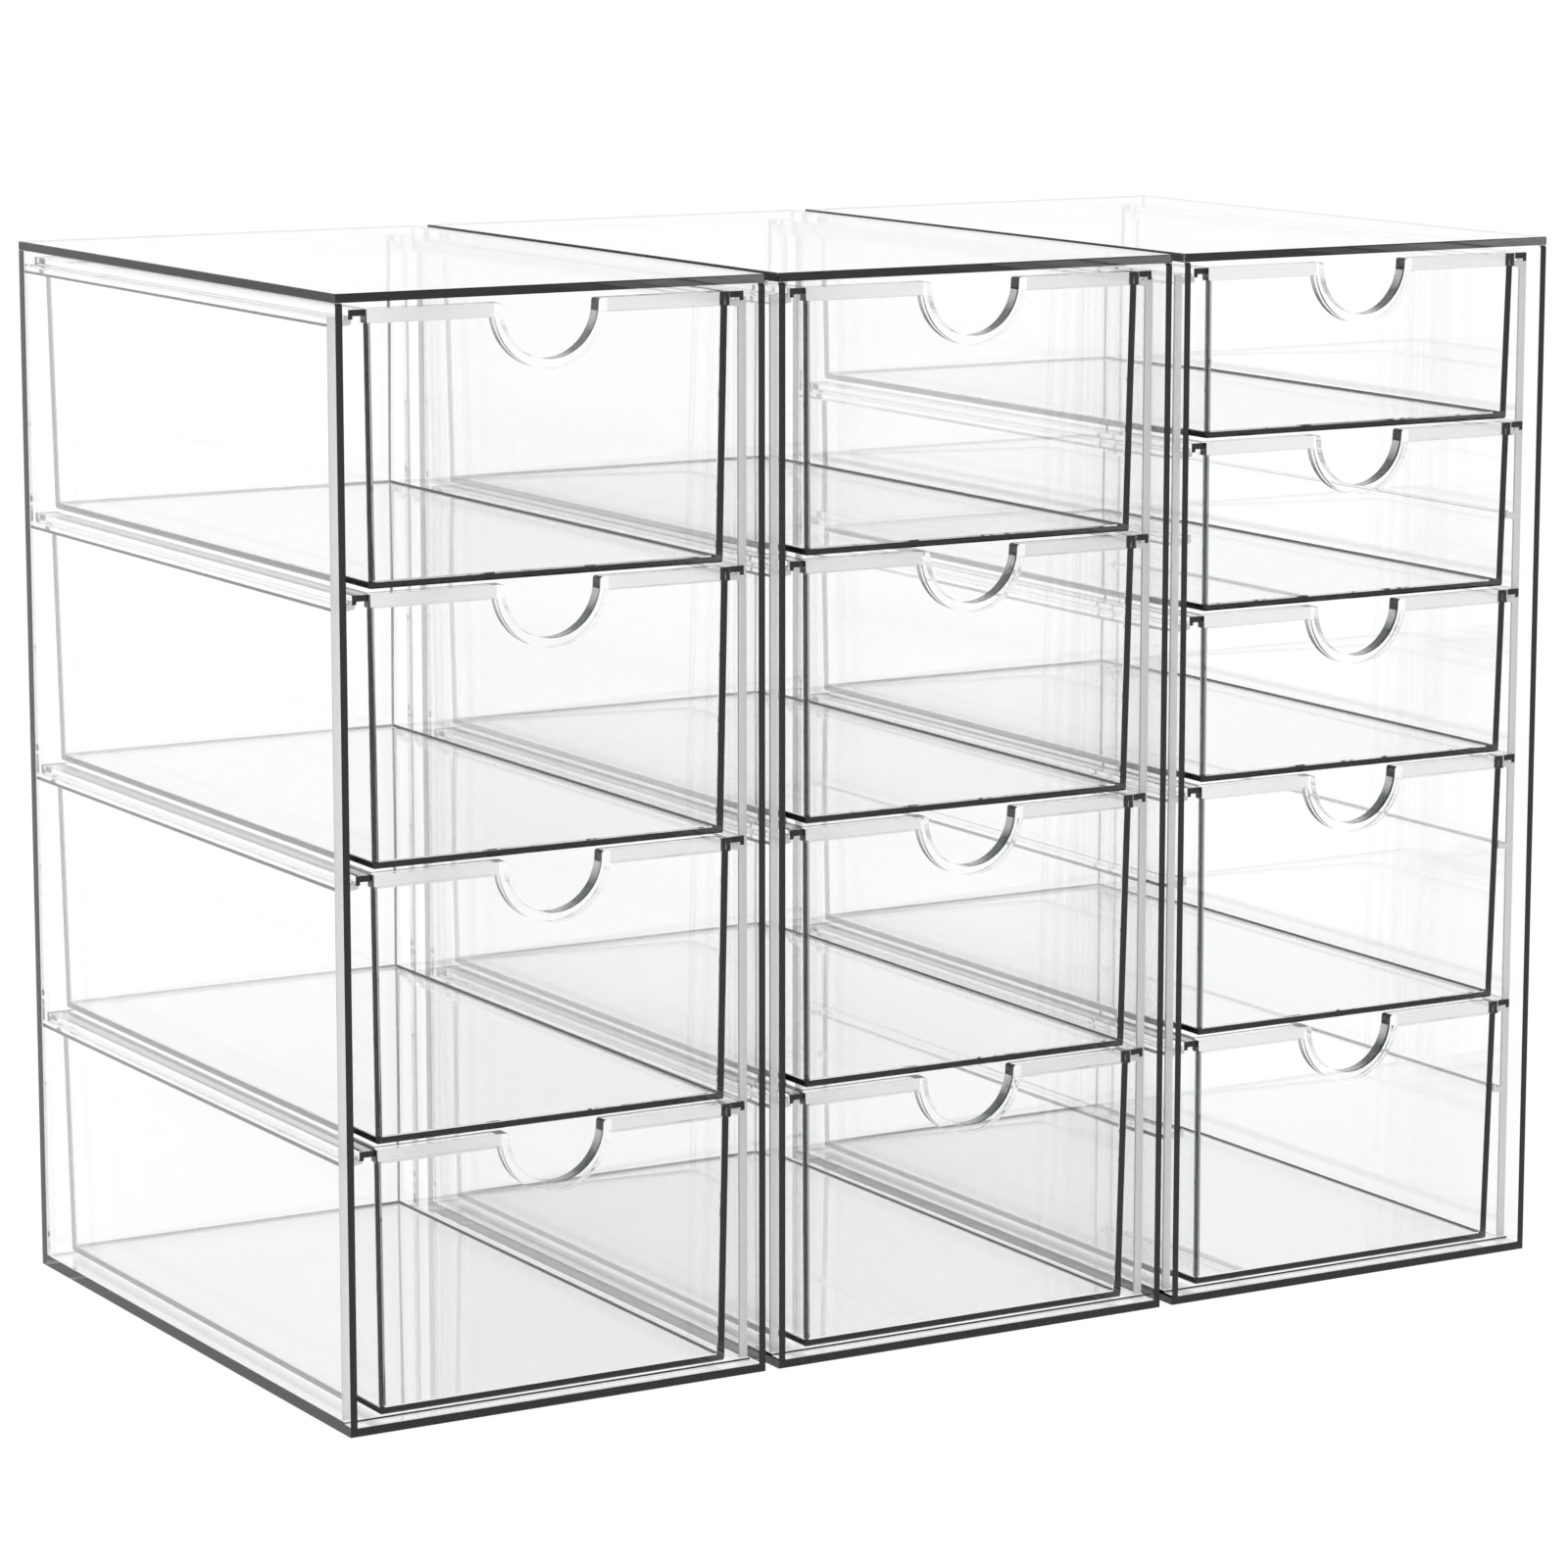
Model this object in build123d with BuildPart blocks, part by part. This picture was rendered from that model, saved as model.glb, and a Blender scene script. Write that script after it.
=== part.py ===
import os

from build123d import *

os.makedirs("parts", exist_ok=True)

# Three clear cases of hanging drawers stand side by side on one floor.
# Lengths are millimetres. +X is right, -Y is the front that the drawers open to,
# +Z is up, and the origin is the middle of the base.

# Case: a moulded shell, open at the front and the top.
case_width = 150.0
case_depth = 246.0
case_gap = 5.1
side_wall = 2.4
back_wall = 2.4
floor_thickness = 3.4
sill_drop = 0.6
sill_depth = 6.2
wall_corner_radius = 1.0

# Top panel that closes the case.
panel_thickness = 2.8
panel_edge_radius = 0.4

# Drawer heights are whole numbers of one module, with a gap under each drawer.
module = 29.1
modules_per_case = 12
modules_per_large = 3
modules_per_small = 2
drawer_gap = 1.3
top_clearance = 2.3
floor_clearance = 1.0

# Runner panel: a plate beside each side wall with hooked runners along it.
seat_gap = 0.2
runner_setback = 7.4
runner_plate = 2.8
runner_reach = 3.5
runner_root = 2.2
runner_tip = 1.6
hook_width = 1.2
hook_height = 1.0
hook_play = 0.3

# Drawer: a drafted tray with a hooked flange along both sides.
drawer_setback = 3.3
drawer_back_gap = 1.2
draft_angle = 0.85
tray_wall = 1.9
tray_floor = 1.8
tray_outside_bevel = 0.5
tray_inside_bevel = 0.6
flange_reach = 5.45
flange_thickness = 2.0
flange_end_gap = 0.5
rim_height = 4.4
rim_depth = 5.0
rim_proud = 0.8

# Thumb notch in the drawer's front: a half circle below a short straight mouth,
# with a collar round it as deep as the rim.
notch_width = 33.6
notch_mouth = 1.4
notch_lip_radius = 1.0
collar_width = 3.0

# A rounding takes up at most this share of the face it runs along.
rounding_share = 0.9
# An edge counts as upright when this share of its direction points up or down.
upright_share = 0.9

# What follows from the sizes above.
stack_height = modules_per_case * module - drawer_gap
first_rim = floor_thickness + floor_clearance + stack_height
shell_height = first_rim + top_clearance
inner_width = case_width - 2 * side_wall
case_front = -case_depth / 2
runner_face = inner_width / 2 - seat_gap - runner_plate
runner_length = case_depth - runner_setback - back_wall - seat_gap
runner_drop = flange_thickness + hook_height + hook_play
tray_width = 2 * (runner_face - flange_end_gap - flange_reach)
tray_length = case_depth - drawer_setback - drawer_back_gap - back_wall
tray_front = case_front + drawer_setback
rim_front = tray_front - rim_proud
tray_middle = tray_front + tray_length / 2

columns = {
    "left": (modules_per_large,) * 4,
    "middle": (modules_per_large,) * 4,
    "right": (modules_per_small,) * 3 + (modules_per_large,) * 2,
}
runner_levels = {
    "left": (0, 3, 6, 9),
    "middle": (0, 3, 6, 9),
    "right": (0, 2, 3, 4, 6, 7, 9, 10),
}
column_x = {
    "left": -case_width - case_gap,
    "middle": 0,
    "right": case_width + case_gap,
}


def keep(piece, name):
    piece.label = name
    export_step(piece, f"parts/{name}.step")


def rim_at(level):
    return first_rim - level * module


def upright(edges):
    return edges.filter_by(lambda edge: abs(edge.tangent_at(0.5).Z) > upright_share)


def case_shell():
    with BuildPart() as shell:
        with BuildSketch():
            Rectangle(case_width, case_depth)
        extrude(amount=shell_height)
        # The hollow runs out through the front and the top.
        with BuildSketch(Plane.XY.offset(floor_thickness)):
            with Locations((0, -back_wall)):
                Rectangle(inner_width, case_depth)
        extrude(amount=shell_height, mode=Mode.SUBTRACT)
        # The floor steps down to a thinner sill along the front.
        with BuildSketch(Plane.XY.offset(floor_thickness)):
            with Locations((0, case_front)):
                Rectangle(inner_width, 2 * sill_depth)
        extrude(amount=-sill_drop, mode=Mode.SUBTRACT)
        # Each side wall is rounded off at its upper front corner.
        upper_edges = shell.edges().filter_by(Axis.X).group_by(Axis.Z)[-1]
        fillet(upper_edges.group_by(Axis.Y)[0], radius=wall_corner_radius)
    return shell.part


def top_panel():
    edge_radius = min(panel_edge_radius, rounding_share * panel_thickness)
    with BuildPart() as panel:
        with BuildSketch(Plane.XY.offset(shell_height + seat_gap)):
            Rectangle(case_width, case_depth)
        extrude(amount=panel_thickness)
        fillet(panel.faces().sort_by(Axis.Z)[-1].edges(), radius=edge_radius)
    return panel.part


def runner_panel(levels):
    # Drawn for the right-hand wall: the runners point to -X and hook upwards.
    plate_foot = floor_thickness + seat_gap
    plate_height = rim_at(0) - runner_drop + hook_height - plate_foot
    plate_middle = runner_face + runner_plate / 2
    hook_inside = runner_face - runner_reach + hook_width
    hook_tip = runner_face - runner_reach
    with BuildPart() as runner:
        with BuildSketch(Plane.XZ.offset(-case_front - runner_setback)):
            with Locations((plate_middle, plate_foot + plate_height / 2)):
                Rectangle(runner_plate, plate_height)
            for level in levels:
                bed = rim_at(level) - runner_drop
                with BuildLine():
                    Polyline(
                        (plate_middle, bed),
                        (hook_inside, bed),
                        (hook_inside, bed + hook_height),
                        (hook_tip, bed + hook_height),
                        (hook_tip, bed - runner_tip),
                        (runner_face, bed - runner_root),
                        (plate_middle, bed - runner_root),
                        close=True,
                    )
                make_face()
        extrude(amount=-runner_length)
    return runner.part


def drawer_tray(height):
    wall_middle = (tray_width - tray_wall) / 2
    flange_end = tray_width / 2 + flange_reach
    lip_width = runner_reach - hook_width - hook_play - flange_end_gap
    lip_inside = flange_end - lip_width
    flange_under = height - flange_thickness
    notch_radius = notch_width / 2
    lip_radius = min(notch_lip_radius, rounding_share * notch_mouth)
    with BuildPart() as tray:
        # Drafted outside, narrower at the foot.
        with BuildSketch(Plane.XY.offset(height)):
            with Locations((0, tray_middle)):
                Rectangle(tray_width, tray_length)
        extrude(amount=-height, taper=draft_angle)
        foot = tray.faces().sort_by(Axis.Z)[0]
        chamfer(upright(tray.edges()) + foot.edges(), length=tray_outside_bevel)
        # Drafted inside, with its corners and floor edges bevelled too.
        with BuildSketch(Plane.XY.offset(height)):
            with Locations((0, tray_middle)):
                Rectangle(tray_width - 2 * tray_wall, tray_length - 2 * tray_wall)
        extrude(amount=tray_floor - height, taper=draft_angle, mode=Mode.SUBTRACT)
        inner_corners = upright(tray.edges(Select.LAST))
        inner_floor = tray.faces().filter_by(Axis.Z).sort_by(Axis.Z)[1]
        chamfer(inner_corners + inner_floor.edges(), length=tray_inside_bevel)
        # Rim along the front.
        with BuildSketch(Plane.XY.offset(height)):
            with Locations((0, rim_front + rim_depth / 2)):
                Rectangle(tray_width, rim_depth)
        extrude(amount=-rim_height)
        # Collar that the thumb notch is cut through.
        with BuildSketch(Plane.XZ.offset(-rim_front)):
            with Locations((0, height - notch_mouth)):
                Circle(notch_radius + collar_width)
            with Locations((0, height)):
                Rectangle(tray_width, height, align=(Align.CENTER, Align.MAX), mode=Mode.INTERSECT)
        extrude(amount=-rim_depth)
        # Flange along each side, with a lip that drops behind the runner's hook.
        with BuildSketch(Plane.XZ.offset(-tray_front)):
            with BuildLine():
                Polyline(
                    (wall_middle, height),
                    (flange_end, height),
                    (flange_end, flange_under - hook_height),
                    (lip_inside, flange_under - hook_height),
                    (lip_inside, flange_under),
                    (wall_middle, flange_under),
                    close=True,
                )
            make_face()
            mirror(about=Plane.YZ)
        extrude(amount=-tray_length)
        # Thumb notch through the front, with its upper corners rounded off.
        with BuildSketch(Plane.XZ.offset(-rim_front)) as notch:
            with Locations((0, height - notch_mouth)):
                Circle(notch_radius)
                Rectangle(notch_width, notch_mouth, align=(Align.CENTER, Align.MIN))
            with Locations((0, height)):
                Rectangle(2 * notch_width, notch_width, align=(Align.CENTER, Align.MIN))
            corners = notch.vertices().group_by(Axis.Y)[-2]
            fillet(corners.sort_by(Axis.X)[1:-1], radius=lip_radius)
        extrude(amount=-2 * rim_depth, mode=Mode.SUBTRACT)
    return tray.part


shell = case_shell()
panel = top_panel()
trays = {
    modules: drawer_tray(modules * module - drawer_gap)
    for modules in (modules_per_large, modules_per_small)
}

for column, drawers in columns.items():
    place = Pos(column_x[column], 0, 0)
    keep(place * shell, f"{column}_case")
    keep(place * panel, f"{column}_top_panel")
    runner = runner_panel(runner_levels[column])
    keep(place * runner, f"{column}_runner_right")
    keep(place * mirror(runner, about=Plane.YZ), f"{column}_runner_left")
    level = 0
    for number, modules in enumerate(drawers, 1):
        foot = rim_at(level) - modules * module + drawer_gap
        keep(place * Pos(0, 0, foot) * trays[modules], f"{column}_drawer_{number}")
        level += modules
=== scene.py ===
import bpy
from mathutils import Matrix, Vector


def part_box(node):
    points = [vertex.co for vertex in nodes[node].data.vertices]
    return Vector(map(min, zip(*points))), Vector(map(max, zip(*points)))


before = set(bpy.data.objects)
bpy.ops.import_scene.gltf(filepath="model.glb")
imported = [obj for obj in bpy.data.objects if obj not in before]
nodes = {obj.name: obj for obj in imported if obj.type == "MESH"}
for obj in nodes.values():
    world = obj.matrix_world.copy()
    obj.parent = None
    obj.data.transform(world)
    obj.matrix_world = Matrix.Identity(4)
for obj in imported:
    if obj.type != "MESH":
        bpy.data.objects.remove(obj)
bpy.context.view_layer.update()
print("frame loaded with", len(nodes), "pieces")

# camera, from a fit to the edges of the three cases
camera = {
    "place": (-0.953797, -1.625301, 0.498267),
    "look": (0.49817, 0.84980, -0.17224),
    "focal": 126.523,
    "sensor": 36.0,
    "nearest": 0.05,
    "farthest": 60.0,
}
bpy.ops.object.select_all(action="DESELECT")
bpy.ops.object.camera_add(location=camera["place"])
viewCamera = bpy.context.object
viewCamera.name = "viewCamera"
viewCamera.rotation_euler = Vector(camera["look"]).to_track_quat("-Z", "Y").to_euler()
viewCamera.data.lens = camera["focal"]
viewCamera.data.sensor_width = camera["sensor"]
viewCamera.data.clip_start = camera["nearest"]
viewCamera.data.clip_end = camera["farthest"]
bpy.context.scene.camera = viewCamera
print("camera set")

# one clear styrene for everything: the dark lines that trapped light leaves along its bevels,
# and the bands where another wall ends in a face, are painted shade in its colour
styrene = {
    "ior": 1.49, "transmission": 1.0, "flowDetail": 2.0, "flowHeight": 0.001,
    "hazeDetail": 4.0, "hazeFrom": 0.5, "hazeFull": 0.8, "clear": 0.0,
    "bevelPaintedShade": (0.10, 0.11, 0.112, 1), "bevelFrom": 0.97, "bevelFull": 0.85,
    "bandPaintedShade": (0.08, 0.085, 0.087, 1), "bandRoughness": 0.5,
    "facing": 0.7, "level": 0.97, "upright": 0.3,  # how much of a normal points along an axis
}
# each kind of piece is moulded a little differently: tints are the colour seen through,
# flow is the faint wave of the mould, haze is where it is duller
casePlastic = {
    "tints": ((0.996, 0.997, 0.997, 1), (1.0, 1.0, 1.0, 1)),
    "flowSize": 16.0, "flow": 0.015, "hazeSize": 45.0, "haze": 0.012,
    # painted shade: a dark band along the back
    "backBand": 0.0026,
}
topPlastic = {
    "tints": ((0.996, 0.997, 0.997, 1), (1.0, 1.0, 1.0, 1)),
    "flowSize": 12.0, "flow": 0.02, "hazeSize": 40.0, "haze": 0.015,
    "cutSetback": 0.001,  # side and back edges are sawn: rougher, with a band of painted shade
}
runnerPlastic = {
    "tints": ((0.996, 0.997, 0.997, 1), (1.0, 1.0, 1.0, 1)),
    "flowSize": 20.0, "flow": 0.01, "hazeSize": 60.0, "haze": 0.01,
    "mattDepth": 0.0006, "mattBlend": 0.0004, "mattRoughness": 0.6, "mattClear": 0.25,  # sawn front ends
}
drawerPlastic = {
    "tints": ((0.995, 0.996, 0.997, 1), (1.0, 1.0, 1.0, 1)),
    "flowSize": 14.0, "flow": 0.015, "hazeSize": 50.0, "haze": 0.012,
    "mattDepth": 0.0002, "mattBlend": 0.0002, "mattRoughness": 0.25,  # the raised rim is satin, and greyed with painted shade
    "rimPaintedShade": (0.74, 0.75, 0.755, 1), "collarReach": 0.0198,  # and the collar of the notch is clear
    # painted shade: dark bands along the back and along the foot
    "backBand": 0.0021, "footBand": 0.0021,
    "floorPaintedShade": (0.900, 0.902, 0.905, 1), "floorReach": 0.0600,  # drawer floors are darkened with painted shade
    # painted shade on the cut face of the thumb notch, and where that face lies
    "notchPaintedShade": (0.20, 0.21, 0.215, 1), "notchRadius": 0.0171, "notchDrop": 0.0014, "notchDepth": 0.0052,
}
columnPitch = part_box("right_case")[0][0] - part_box("middle_case")[0][0]


def addNode(tree, kind, **values):
    node = tree.nodes.new(kind)
    for socket, value in values.items():
        node.inputs[socket].default_value = value
    return node


def addNoise(tree, place, size, detail):
    noise = addNode(tree, "ShaderNodeTexNoise", Scale=size, Detail=detail)
    tree.links.new(place.outputs["Object"], noise.inputs["Vector"])
    return noise.outputs["Fac"]


def addRange(tree, value, start, end, first, last):
    change = tree.nodes.new("ShaderNodeMapRange")
    for socket, number in zip(("From Min", "From Max", "To Min", "To Max"), (start, end, first, last)):
        change.inputs[socket].default_value = number
    tree.links.new(value, change.inputs["Value"])
    return change.outputs["Result"]


def addMath(tree, operation, first, second):
    step = tree.nodes.new("ShaderNodeMath")
    step.operation = operation
    for socket, value in zip(step.inputs, (first, second)):
        if isinstance(value, float):
            socket.default_value = value
        else:
            tree.links.new(value, socket)
    return step.outputs["Value"]


def above(tree, value, limit):
    return addMath(tree, "GREATER_THAN", value, limit)


def below(tree, value, limit):
    return addMath(tree, "LESS_THAN", value, limit)


def allOf(tree, mask, *others):
    for other in others:
        mask = addMath(tree, "MULTIPLY", mask, other)
    return mask


def addMix(tree, share, first, second):
    mix = tree.nodes.new("ShaderNodeMixRGB")
    tree.links.new(share, mix.inputs["Fac"])
    tree.links.new(first, mix.inputs["Color1"])
    mix.inputs["Color2"].default_value = second
    return mix.outputs["Color"]


def splitXyz(tree, vector):
    split = tree.nodes.new("ShaderNodeSeparateXYZ")
    tree.links.new(vector, split.inputs["Vector"])
    return split.outputs


def roughen(tree, roughness, mask, amount):
    return addMath(tree, "MAXIMUM", roughness, addMath(tree, "MULTIPLY", mask, amount))


# sample is one piece of the kind, and upper is the one above it where they stand in a stack
def makeClearPlastic(name, look, sample, upper=None):
    lowest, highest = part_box(sample)
    material = bpy.data.materials.new(name)
    material.use_nodes = True
    tree = material.node_tree
    shader = tree.nodes["Principled BSDF"]
    shader.inputs["IOR"].default_value = styrene["ior"]
    shader.inputs["Transmission Weight"].default_value = styrene["transmission"]
    place = tree.nodes.new("ShaderNodeTexCoord")
    spot = splitXyz(tree, place.outputs["Object"])
    facing = tree.nodes.new("ShaderNodeVectorMath")
    facing.operation = "ABSOLUTE"
    tree.links.new(place.outputs["Normal"], facing.inputs[0])
    side = splitXyz(tree, facing.outputs["Vector"])
    if upper:
        fromColumn = addMath(tree, "PINGPONG", spot["X"], columnPitch / 2)
        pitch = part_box(upper)[0][2] - lowest[2]
        rise = addMath(tree, "MODULO", addMath(tree, "SUBTRACT", spot["Z"], lowest[2]), pitch)

    # faint tint that drifts along the flow of the mould
    flow = addNoise(tree, place, look["flowSize"], styrene["flowDetail"])
    tint = tree.nodes.new("ShaderNodeValToRGB")
    tint.color_ramp.elements[0].color, tint.color_ramp.elements[1].color = look["tints"]
    tree.links.new(flow, tint.inputs["Fac"])
    colour = tint.outputs["Color"]
    # duller patches, as handling and polishing leave them
    haze = addNoise(tree, place, look["hazeSize"], styrene["hazeDetail"])
    roughness = addRange(tree, haze, styrene["hazeFrom"], styrene["hazeFull"], styrene["clear"], look["haze"])

    # matt front ends of runners and satin rims of drawers; the drawer rims are also greyed with painted shade
    if "mattDepth" in look:
        mattEnd = lowest[1] + look["mattDepth"]
        matt = addRange(tree, spot["Y"], mattEnd, mattEnd + look["mattBlend"], 1.0, 0.0)
        if "collarReach" in look:
            matt = allOf(tree, matt, above(tree, fromColumn, look["collarReach"]))
        roughness = roughen(tree, roughness, matt, look["mattRoughness"])
        if "mattClear" in look:
            clearness = addRange(tree, matt, 0.0, 1.0, styrene["transmission"], look["mattClear"])
            tree.links.new(clearness, shader.inputs["Transmission Weight"])
        # painted shade: the satin rims of drawers are greyed
        if "rimPaintedShade" in look:
            colour = addMix(tree, matt, colour, look["rimPaintedShade"])

    # painted shade: dark bands, also made rougher, along the back, along sawn edges and along the foot of a
    # drawer
    bands = []
    if "backBand" in look:
        behind = above(tree, spot["Y"], highest[1] - look["backBand"])
        bands.append(allOf(tree, behind, below(tree, side["Y"], styrene["facing"])))
    if "cutSetback" in look:
        past = above(tree, spot["Y"], lowest[1] + look["cutSetback"])
        bands.append(allOf(tree, past, below(tree, side["Z"], styrene["upright"])))
    if upper:
        foot = below(tree, rise, look["footBand"])
        bands.append(allOf(tree, foot, above(tree, side["X"], styrene["facing"])))
    for band in bands:
        colour = addMix(tree, band, colour, styrene["bandPaintedShade"])
        roughness = roughen(tree, roughness, band, styrene["bandRoughness"])

    # painted shade on the floor of a drawer
    if upper:
        level = above(tree, side["Z"], styrene["level"])
        trayFloor = allOf(tree, level, below(tree, fromColumn, look["floorReach"]))
        colour = addMix(tree, trayFloor, colour, look["floorPaintedShade"])
        # painted shade on the cut face of the thumb notch
        drop = addMath(tree, "SUBTRACT", rise, highest[2] - lowest[2] - look["notchDrop"])
        reach = addMath(tree, "ADD", allOf(tree, fromColumn, fromColumn), allOf(tree, drop, drop))
        notch = allOf(
            tree,
            below(tree, reach, look["notchRadius"] ** 2),
            below(tree, spot["Y"], lowest[1] + look["notchDepth"]),
            below(tree, side["Y"], styrene["upright"]),
        )
        colour = addMix(tree, notch, colour, look["notchPaintedShade"])

    # slanted faces are the bevels and roundings, darkened with painted shade for the lines trapped light
    # leaves there
    straight = addMath(tree, "MAXIMUM", addMath(tree, "MAXIMUM", side["X"], side["Y"]), side["Z"])
    bevel = addRange(tree, straight, styrene["bevelFrom"], styrene["bevelFull"], 0.0, 1.0)
    colour = addMix(tree, bevel, colour, styrene["bevelPaintedShade"])
    tree.links.new(colour, shader.inputs["Base Color"])
    tree.links.new(roughness, shader.inputs["Roughness"])
    wave = addNode(tree, "ShaderNodeBump", Strength=look["flow"], Distance=styrene["flowHeight"])
    tree.links.new(flow, wave.inputs["Height"])
    tree.links.new(wave.outputs["Normal"], shader.inputs["Normal"])
    return material


finishes = {
    "case": makeClearPlastic("casePlastic", casePlastic, "left_case"),
    "top": makeClearPlastic("topPlastic", topPlastic, "left_top_panel"),
    "runner": makeClearPlastic("runnerPlastic", runnerPlastic, "left_runner_left"),
    "drawer": makeClearPlastic("drawerPlastic", drawerPlastic, "left_drawer_4", "left_drawer_3"),
    "small": makeClearPlastic("smallDrawerPlastic", drawerPlastic, "right_drawer_3", "right_drawer_2"),
}
smallDrawers = ("right_drawer_1", "right_drawer_2", "right_drawer_3")
for name, node in nodes.items():
    kind = "small" if name in smallDrawers else name.split("_")[1]
    node.data.materials.clear()
    node.data.materials.append(finishes[kind])
print("plastic set on", len(nodes), "pieces")

# studio: white floor, white all round at eye level, a greyer ceiling
studio = {
    "floorSize": 40.0, "floorDrop": 0.0005, "floorColour": (0.15, 0.15, 0.15, 1), "floorGlow": 0.93,
    "floorRoughness": 1.0, "floorShine": 0.0,
    "horizon": (1.0, 1.0, 1.0, 1), "ceiling": (0.70, 0.70, 0.71, 1), "ceilingFrom": 0.25, "ceilingFull": 0.75,
    "sky": 1.05,
}
bpy.ops.object.select_all(action="DESELECT")
bpy.ops.mesh.primitive_plane_add(size=studio["floorSize"], location=(0, 0, -studio["floorDrop"]))
floor = bpy.context.object
floor.name = "floor"
bpy.ops.object.transform_apply(location=True)
floorPaint = bpy.data.materials.new("floorPaint")
floorPaint.use_nodes = True
paint = floorPaint.node_tree.nodes["Principled BSDF"]
paint.inputs["Base Color"].default_value = studio["floorColour"]
paint.inputs["Roughness"].default_value = studio["floorRoughness"]
paint.inputs["Specular IOR Level"].default_value = studio["floorShine"]
paint.inputs["Emission Color"].default_value = studio["horizon"]
paint.inputs["Emission Strength"].default_value = studio["floorGlow"]
floor.data.materials.append(floorPaint)

world = bpy.data.worlds.new("studio")
bpy.context.scene.world = world
world.use_nodes = True
skyTree = world.node_tree
sky = skyTree.nodes["Background"]
sky.inputs["Strength"].default_value = studio["sky"]
direction = skyTree.nodes.new("ShaderNodeTexCoord")
height = skyTree.nodes.new("ShaderNodeSeparateXYZ")
skyTree.links.new(direction.outputs["Generated"], height.inputs["Vector"])
fade = skyTree.nodes.new("ShaderNodeValToRGB")
fade.color_ramp.elements[0].position = studio["ceilingFrom"]
fade.color_ramp.elements[0].color = studio["horizon"]
fade.color_ramp.elements[1].position = studio["ceilingFull"]
fade.color_ramp.elements[1].color = studio["ceiling"]
skyTree.links.new(height.outputs["Z"], fade.inputs["Fac"])
skyTree.links.new(fade.outputs["Color"], sky.inputs["Color"])

# light that stays trapped in an edge dies out after a few bounces
bounces = {"all": 64, "through": 40, "trapped": 4, "floor": 4}
scene = bpy.context.scene
scene.view_settings.view_transform = "Standard"
scene.cycles.max_bounces = bounces["all"]
scene.cycles.transmission_bounces = bounces["through"]
scene.cycles.glossy_bounces = bounces["trapped"]
scene.cycles.diffuse_bounces = bounces["floor"]
print("studio set")
